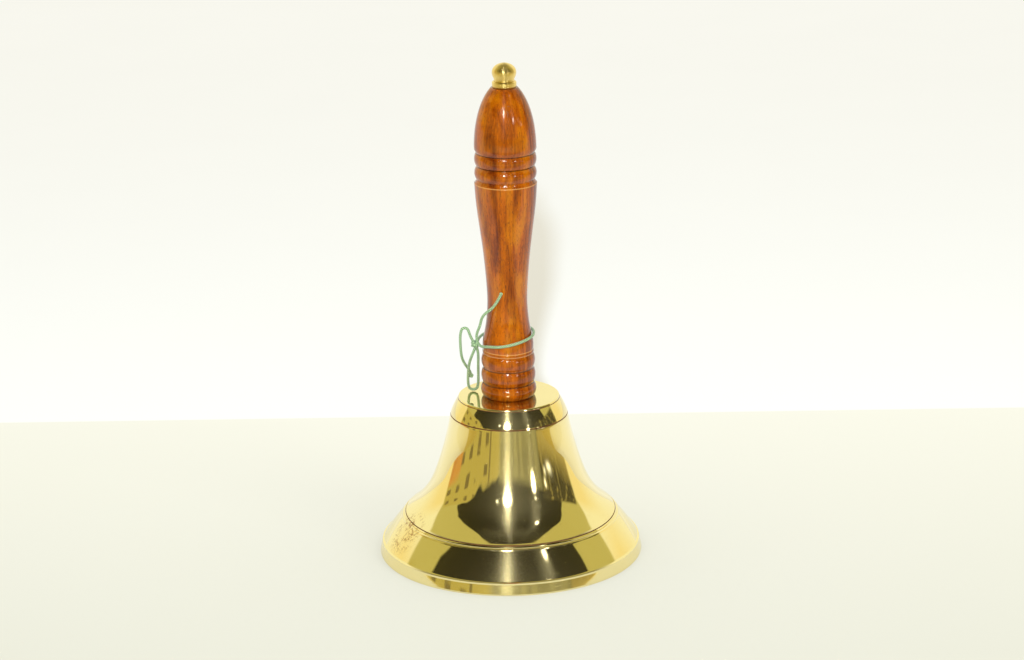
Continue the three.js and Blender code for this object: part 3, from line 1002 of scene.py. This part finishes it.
def prism(name, first, second, material):
    """A solid between two flat outlines with the same number of points."""
    count = len(first)
    faces = [(i, (i + 1) % count, count + (i + 1) % count, count + i) for i in range(count)]
    faces += [tuple(reversed(range(count))), tuple(range(count, 2 * count))]
    return make_mesh(name, [*first, *second], faces, [material])


def yoke(steel):
    """Strap bent into a U over the clapper's hub, with round ears for the pin."""
    top, length, width = 67.6, 17.4, 9.0
    bridge, ear = 2.4, 2.2
    ear_r, bend_r = 4.2, 3.4
    half = length / 2
    foot = PIVOT_Z - ear_r

    def arch(half, top, bend):
        """One side of the strap in Y and Z, from its left foot over the top to its right foot."""
        return [(-half, foot, 0), (-half, top, bend), (half, top, bend), (half, foot, 0)]

    inner = arch(half - ear, top - bridge, bend_r - bridge + 0.1)
    section = rounded(arch(half, top, bend_r), 8) + rounded(inner[::-1], 8)
    left, right = ([(x, y, z) for y, z in section] for x in (-width / 2, width / 2))
    strap = prism("yoke_strap", left, right, steel)
    # The outline of the strap seen along Y: straight sides that taper to a round end.
    turns = np.linspace(math.pi, 2 * math.pi, 25)
    ends = [(ear_r * math.cos(a), PIVOT_Z + ear_r * math.sin(a)) for a in turns]
    face = [(-width / 2 - 0.01, top + 1), (-width / 2 - 0.01, top - 4), *ends]
    face += [(width / 2 + 0.01, top - 4), (width / 2 + 0.01, top + 1)]
    back, front = ([(x, y, z) for x, z in face] for y in (half + 1, -half - 1))
    boolean(strap, prism("trim", back, front, steel), "INTERSECT")
    drill(strap, ROD_HOLE, 60, 70, steel, 48)
    drill(strap, PIN_HOLE, -12, 12, steel, 40, ON_PIVOT)
    soften(strap, 0.3)
    place(strap, "yoke", "zinc_steel", "clapper_yoke")


def pivot(steel):
    """Round-headed pin through the ears, and the split ring pressed on its end."""
    turns = np.linspace(0, math.pi / 2, 9)[1:]
    head = [(0, -10.4), *[(PIN_HEAD_R * math.sin(a), -9.4 - math.cos(a)) for a in turns]]
    pin = [*head, (PIN_HEAD_R, -9.15), (PIN_HEAD_R - 0.15, -9.0), (PIN_R, -9.0)]
    pin += [(PIN_R, 10.5), (PIN_R - 0.3, 10.9), (0, 10.9)]
    place(turned("pivot_pin", pin, [steel], 48, matrix=ON_PIVOT), "yoke", "zinc_steel", "clapper_pin")
    ring = ring_piece("retaining_ring", steel, PIN_HEAD_R, PIN_HOLE, 9.0, 10.4, 0.25, 48, ON_PIVOT)
    slit = [(x, y, z) for x in (-0.35, 0.35) for y in (8.5, 11) for z in (PIVOT_Z, PIVOT_Z + 4)]
    sides = [(0, 1, 3, 2), (4, 6, 7, 5), (0, 4, 5, 1), (2, 3, 7, 6), (0, 2, 6, 4), (1, 5, 7, 3)]
    boolean(ring, make_mesh("slit", slit, sides, [steel]))
    place(ring, "yoke", "zinc_steel", "pin_retainer")


def clapper(steel, brass):
    """Shank with its eye, the ball, and the nut that locks the ball."""
    neck = [(2.0, 44), (2.1, 47.5), (2.45, 50), (3.0, 52), (3.3, 54)]
    thread = threaded(SHANK_R, 25, 34, pitch=0.7, depth=0.32, segments=40)
    rings = [(0, 10), (1.7, 10), (SHANK_R, 10.4), *thread]
    rings += [(2.0, 34.5), *[tuple(p) for p in spline(neck, 12)], (0, 54)]
    shank = polar("clapper_shank", rings, [steel], 40, sharp=50)
    eye = rounded([(0, -5.5), (3.6, -5.5, 0.5), (3.6, 5.5, 0.5), (0, 5.5)])
    boolean(shank, turned("eye", eye, [steel], 56, matrix=ON_PIVOT), "UNION")
    drill(shank, PIN_HOLE, -8, 8, steel, 40, ON_PIVOT)
    shade_smooth(shank.data, EDGE_ANGLE)
    place(shank, "clapper", "zinc_steel", "clapper_rod")
    ball_r, ball_z = 10.5, 15
    angles = np.linspace(-math.pi / 2, math.acos((SHANK_HOLE + 0.5) / ball_r), 56)
    ball = [(ball_r * math.cos(a), ball_z + ball_r * math.sin(a)) for a in angles]
    ball[0] = (0, ball_z - ball_r)
    ball += [(SHANK_HOLE, ball[-1][1] - 0.1), (SHANK_HOLE, 9.7), (0, 9.7)]
    place(turned("clapper_bob", ball, [brass], sharp=50), "clapper", "satin_brass", "clapper_ball")
    jam = hex_nut("jam_nut", steel, across_flats=7, hole=SHANK_HOLE, bottom=25.8, height=2.6)
    place(jam, "clapper", "zinc_steel", "clapper_jam_nut")


def hardware(steel):
    """What clamps the bell to the handle, under the crown."""
    washer = ring_piece("washer", steel, outer=9, inner=ROD_HOLE, bottom=73.2, top=74.7, edge=0.35)
    place(washer, "bell", "zinc_steel", "crown_washer")
    nut = hex_nut("crown_hex_nut", steel, across_flats=10, hole=ROD_HOLE, bottom=67.9, height=5)
    place(nut, "bell", "zinc_steel", "crown_nut")
    nut = hex_nut("yoke_hex_nut", steel, across_flats=10, hole=ROD_HOLE, bottom=60.9, height=4)
    place(nut, "bell", "zinc_steel", "yoke_nut")


# ---- stage, light and surroundings

FLOOR_R = 8000
FLOOR_TURN = 199
FLOOR_COLOUR = (0.81, 0.775, 0.64)
# Painted shade: the floor nears NEAR_COLOUR towards the camera; painted light: it nears FAR_COLOUR far
# behind.
NEAR_COLOUR = (0.60, 0.565, 0.44)
BACKDROP_COLOUR = (0.865, 0.845, 0.77)
FAR_COLOUR = (1.0, 0.995, 0.965)
PAPER_FLECKS = (0.7, 0.7, 0.66)
GLOSS_OCHRE = (0.88, 0.78, 0.45)
GLOSS_FRONT = (0.30, 0.26, 0.11)
GLOSS_FRONT_SIDES = (0.62, 0.47, 0.11)

WHITE_WALL = (1.05, 1.03, 0.80)
YELLOW_WALL = (1.02, 0.86, 0.42)
GREY_WALL = (0.60, 0.545, 0.20)
DARK = (0.022, 0.019, 0.008)
OCHRE = (0.56, 0.47, 0.13)
BROWN = (0.16, 0.12, 0.05)
CEILING = (0.30, 0.28, 0.17)
ORANGE = (0.75, 0.33, 0.08)
DIM_WALL = (0.40, 0.375, 0.19)
DIM_FOLDS = (0.15, 0.14, 0.08)
SHELF_TOP = (0.065, 0.055, 0.025)
SHELF_FOOT = (0.50, 0.40, 0.13)
SHELF_CLUTTER = (0.50, 0.42, 0.14)
GLOW_COLOUR = (1.0, 1.0, 0.95)
SOFT_LIGHT = (0.87, 0.85, 0.77)
COOL_LIGHT = (0.62, 0.75, 1.0)

# Lamps and their haze, as azimuth and elevation, width and height in degrees, and brightness.
GLOWS = [
    ((-4.3, 24.5), (3.4, 3.9), 70),
    ((-4.3, 29), (3.6, 16), 1.1),
    ((-4.3, 34), (6.0, 42), 0.35),
    ((7, 27), (44, 24), 0.105),
    ((0, 70), (60, 9), 0.07),
    ((-6.0, 32), (15, 30), 0.12),
    ((-5.5, 52), (9, 13), 0.24),
    ((37.2, 15.0), (1.9, 2.0), 36),
    ((38.0, 34), (6, 24), 0.16),
    ((38.5, 22), (1.2, 1.2), 3),
    ((44, 52.4), (2.0, 2.0), 8),
    ((43.5, 51), (4, 9), 0.22),
    ((-19.9, 25.3), (1.3, 1.4), 4),
    ((67, 7.5), (3.6, 1.5), 2.2),
    ((59, 9.5), (1.6, 1.2), 1.5),
    ((57, 13), (1.4, 1.0), 2.5),
]


def spot_light(azimuth, elevation, at, size):
    """Soft round glow at a direction, whose width and height in degrees are given."""
    dx = (azimuth - at[0]) * (1 / size[0])
    dy = (elevation - at[1]) * (1 / size[1])
    return ((dx * dx + dy * dy) * -1).math("EXPONENT")


def surroundings(tree):
    """What gloss reflects: a pale room with a dark opening in front, ochre panels low on the left,
    dark shelves low on the right, and lamps. Azimuth 0 is -Y and grows towards +X, in degrees.
    """
    coordinates = tree.nodes.new("ShaderNodeTexCoord")
    x, y, z = Value(tree, coordinates.outputs["Generated"]).parts()
    azimuth = x.math("ARCTAN2", y * -1) * math.degrees(1)
    elevation = z.math("ARCSINE") * math.degrees(1)
    aside = azimuth.math("ABSOLUTE")

    # White wall behind, yellow low down, under a darker ceiling; grey wall all across the front.
    colour = mix(elevation.above(46, 10), WHITE_WALL, CEILING)
    wall_edge = (elevation - 14).math("MAXIMUM", 0).math("MINIMUM", 26) * 0.75 + 103
    yellow = aside.below(132, 26) * elevation.below(22, 12)
    colour = mix(yellow * 0.85, colour, YELLOW_WALL)
    colour = mix(aside.below(wall_edge, 3), colour, GREY_WALL)

    # Dark opening, whose sides lean outwards as they go down and close over the top.
    closing = elevation.math("MULTIPLY_ADD", 1 / 17, -68 / 17, clamp=True)
    closing = closing * closing * 55
    rise = elevation.math("MULTIPLY_ADD", -1 / 32, 70 / 32, clamp=True)
    left_edge = closing - 70 - rise * rise * 12
    rise = elevation.math("MULTIPLY_ADD", -1 / 30, 75 / 30, clamp=True)
    right_edge = rise * rise * 10 + 70 - closing
    uneven = noise(vector_of(azimuth * 0.05, elevation * 0.05, 3.0), 1, 1) - 0.5
    sill = azimuth * -0.19 + 9.0 + uneven * 14
    opening = azimuth.above(left_edge + uneven * 10, 2) * azimuth.below(right_edge + uneven * 10, 2)
    opening = opening * elevation.above(sill, 2) * elevation.below(86, 4)
    colour = mix(opening, colour, DARK)

    # Ochre panels under the opening on the left, with brown marks in rows, a strip and an orange corner.
    low = elevation.between(-4, 23, 2)
    panels = azimuth.between(-106, -14, 2) * low * elevation.below(sill, 1.5)
    colour = mix(panels, colour, OCHRE)
    columns = (azimuth * 0.42).math("SINE").above(0.3, 0.3)
    rows = (elevation * 0.75).math("SINE").above(0.1, 0.4)
    some = noise(vector_of(azimuth * 0.07, elevation * 0.16, 0.0), 1, 1).above(0.46, 0.08)
    colour = mix(panels * columns * rows * some * azimuth.below(-38, 2) * 0.85, colour, BROWN)
    colour = mix(panels * azimuth.between(-36, -33.6, 1) * 0.8, colour, BROWN)
    colour = mix(panels * azimuth.below(-88, 3) * elevation.below(6, 3) * 0.8, colour, ORANGE)

    # Dim wall with folds in the middle, and cluttered shelves on the right.
    middle = azimuth.between(-18, 52, 4) * elevation.between(-4, 15.5, 3)
    colour = mix(middle * 0.9, colour, DIM_WALL)
    sway = noise(vector_of(azimuth * 0.07, elevation * 0.03, 0.0), 1, 3) * 14
    folds = (azimuth * 0.5 + sway).math("SINE")
    colour = mix(middle * folds.above(0.2, 1.2) * 0.4, colour, DIM_FOLDS)
    right = azimuth.between(52, 104, 3) * elevation.between(-2, 22, 3)
    shade = mix(elevation.above(4, 8), SHELF_FOOT, SHELF_TOP)
    colour = mix(right, colour, shade)
    clutter = noise(vector_of(azimuth * 0.22, elevation * 0.12, 0.0), 1, 3, 0.6).above(0.57, 0.05)
    colour = mix(right * clutter * 0.6, colour, SHELF_CLUTTER)

    for at, size, power in GLOWS:
        glow = spot_light(azimuth, elevation, at, size) * power
        brighter = vector_math("MULTIPLY_ADD", glow, GLOW_COLOUR, colour)
        colour = Value(tree, brighter.outputs["Vector"])
    return colour


def studio():
    """Plain soft light on matt surfaces; gloss reflects the surroundings."""
    world = bpy.data.worlds.new("studio")
    bpy.context.scene.world = world
    world.use_nodes = True
    world.cycles.sampling_method = "NONE"
    tree = world.node_tree
    tree.nodes.clear()
    colour = mix(glossy_ray(tree), SOFT_LIGHT, surroundings(tree))
    background = tree.nodes.new("ShaderNodeBackground")
    feed(tree, colour, background.inputs["Color"])
    output = tree.nodes.new("ShaderNodeOutputWorld")
    tree.links.new(background.outputs[0], output.inputs["Surface"])


def lamp(name, place_at, aim, size, power, colour=(1, 1, 1)):
    """Round area lamp, in metres and watts, whose own reflection is left to the surroundings."""
    data = bpy.data.lights.new(name, "AREA")
    data.shape = "DISK"
    data.size = size
    data.energy = power
    data.color = colour
    thing = new_object(name, data)
    thing.location = place_at
    direction = Vector(aim) - Vector(place_at)
    thing.rotation_euler = direction.to_track_quat("-Z", "Y").to_euler()
    thing.visible_camera = False
    thing.visible_glossy = False


def stage():
    """The floor and the two lamps."""
    # Round floor, open under the mouth so that light from below reaches the clapper.
    under_rim = MOUTH_R - 0.4
    floor = polar("floor", [(FLOOR_R, 0), (under_rim, 0)], [plain_floor()], 256)
    lamp("front_lamp", (-0.036, -1.5, 0.77), aim=(0, 0, 0.1), size=0.05, power=42, colour=COOL_LIGHT)
    lamp("side_lamp", (1.1, -1.0, 1.0), aim=(0, 0, 0.08), size=0.8, power=3)
    bpy.context.scene.view_settings.view_transform = "Standard"


bell()
handle()
brass = satin_brass()
steel = zinc_steel()
finial(brass)
tie_rod(steel)
hardware(steel)
yoke(steel)
pivot(steel)
clapper(steel, brass)
studio()
stage()
